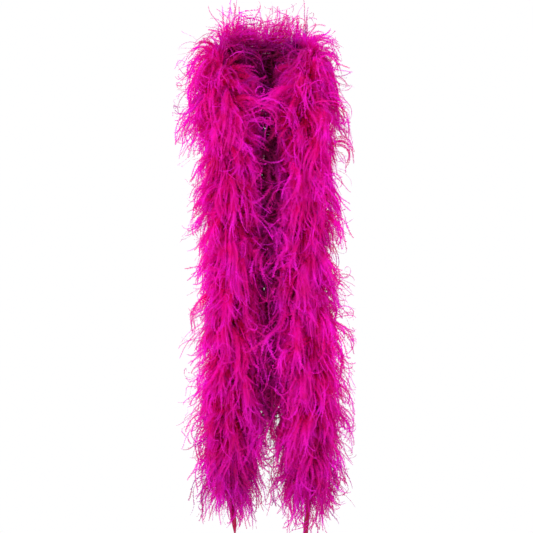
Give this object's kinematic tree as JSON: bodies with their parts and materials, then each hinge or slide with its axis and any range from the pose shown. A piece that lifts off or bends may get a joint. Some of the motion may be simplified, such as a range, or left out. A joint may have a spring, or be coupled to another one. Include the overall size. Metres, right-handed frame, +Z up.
{
  "type": "feather boa",
  "caption": "Long fluffy ostrich-feather boa draped round a neck opening, its tails hanging side by side, with satin ribbon ties at the ends.",
  "frame": {"origin": "middle of the wearer's neck, level with the core cord at the nape", "axes": "+Z up; the wearer faces -Y, so the tails hang at -Y; +X is to the right of someone facing the wearer"},
  "size_m": [0.3145, 0.3601, 1.1252],
  "materials": {
    "ply_1": "matte",
    "ply_2": "matte",
    "ply_3": "matte",
    "ply_4": "matte",
    "core_cord": "matte",
    "binding_thread": "satin",
    "tie_ribbon": "satin"
  },
  "bodies": {
    "collar": {"collar_core": "core_cord", "collar_left_ply_1": "ply_1", "collar_left_ply_2": "ply_2", "collar_left_ply_3": "ply_3", "collar_left_ply_4": "ply_4", "collar_nape_ply_1": "ply_1", "collar_nape_ply_2": "ply_2", "collar_nape_ply_3": "ply_3", "collar_nape_ply_4": "ply_4", "collar_right_ply_1": "ply_1", "collar_right_ply_2": "ply_2", "collar_right_ply_3": "ply_3", "collar_right_ply_4": "ply_4"},
    "left_upper": {"left_upper_core": "core_cord", "left_upper_ply_1": "ply_1", "left_upper_ply_2": "ply_2", "left_upper_ply_3": "ply_3", "left_upper_ply_4": "ply_4"},
    "left_middle": {"left_middle_core": "core_cord", "left_middle_ply_1": "ply_1", "left_middle_ply_2": "ply_2", "left_middle_ply_3": "ply_3", "left_middle_ply_4": "ply_4"},
    "left_lower": {"left_lower_core": "core_cord", "left_lower_ply_1": "ply_1", "left_lower_ply_2": "ply_2", "left_lower_ply_3": "ply_3", "left_lower_ply_4": "ply_4", "left_end_binding": "binding_thread", "left_tie_knot": "tie_ribbon"},
    "left_tie": {"left_tie_ribbon": "tie_ribbon", "left_tie_end_knot": "tie_ribbon"},
    "right_upper": {"right_upper_core": "core_cord", "right_upper_ply_1": "ply_1", "right_upper_ply_2": "ply_2", "right_upper_ply_3": "ply_3", "right_upper_ply_4": "ply_4"},
    "right_middle": {"right_middle_core": "core_cord", "right_middle_ply_1": "ply_1", "right_middle_ply_2": "ply_2", "right_middle_ply_3": "ply_3", "right_middle_ply_4": "ply_4"},
    "right_lower": {"right_lower_core": "core_cord", "right_lower_ply_1": "ply_1", "right_lower_ply_2": "ply_2", "right_lower_ply_3": "ply_3", "right_lower_ply_4": "ply_4", "right_end_binding": "binding_thread", "right_tie_knot": "tie_ribbon"},
    "right_tie": {"right_tie_ribbon": "tie_ribbon", "right_tie_end_knot": "tie_ribbon"}
  },
  "joints": [
    {"name": "left_chest_lift", "type": "hinge", "parent": "collar", "child": "left_upper", "pos_m": [-0.0702, -0.12861, -0.2], "axis": [-1, 0, 0], "range_deg": [-15, 60]},
    {"name": "left_waist_swing", "type": "hinge", "parent": "left_upper", "child": "left_middle", "pos_m": [-0.06209, -0.13453, -0.42], "axis": [0, 1, 0], "range_deg": [0, 45]},
    {"name": "left_hem_lift", "type": "hinge", "parent": "left_middle", "child": "left_lower", "pos_m": [-0.06553, -0.12752, -0.64], "axis": [-1, 0, 0], "range_deg": [-50, 55]},
    {"name": "left_tie_swing", "type": "hinge", "parent": "left_lower", "child": "left_tie", "pos_m": [-0.066, -0.122, -0.8626], "axis": [-1, 0, 0], "range_deg": [-60, 60]},
    {"name": "right_chest_lift", "type": "hinge", "parent": "collar", "child": "right_upper", "pos_m": [0.07818, -0.12861, -0.2], "axis": [-1, 0, 0], "range_deg": [-15, 60]},
    {"name": "right_waist_swing", "type": "hinge", "parent": "right_upper", "child": "right_middle", "pos_m": [0.07512, -0.13453, -0.42], "axis": [0, -1, 0], "range_deg": [0, 45]},
    {"name": "right_hem_lift", "type": "hinge", "parent": "right_middle", "child": "right_lower", "pos_m": [0.08336, -0.12752, -0.64], "axis": [-1, 0, 0], "range_deg": [-50, 55]},
    {"name": "right_tie_swing", "type": "hinge", "parent": "right_lower", "child": "right_tie", "pos_m": [0.085, -0.122, -0.8626], "axis": [-1, 0, 0], "range_deg": [-60, 60]}
  ]
}
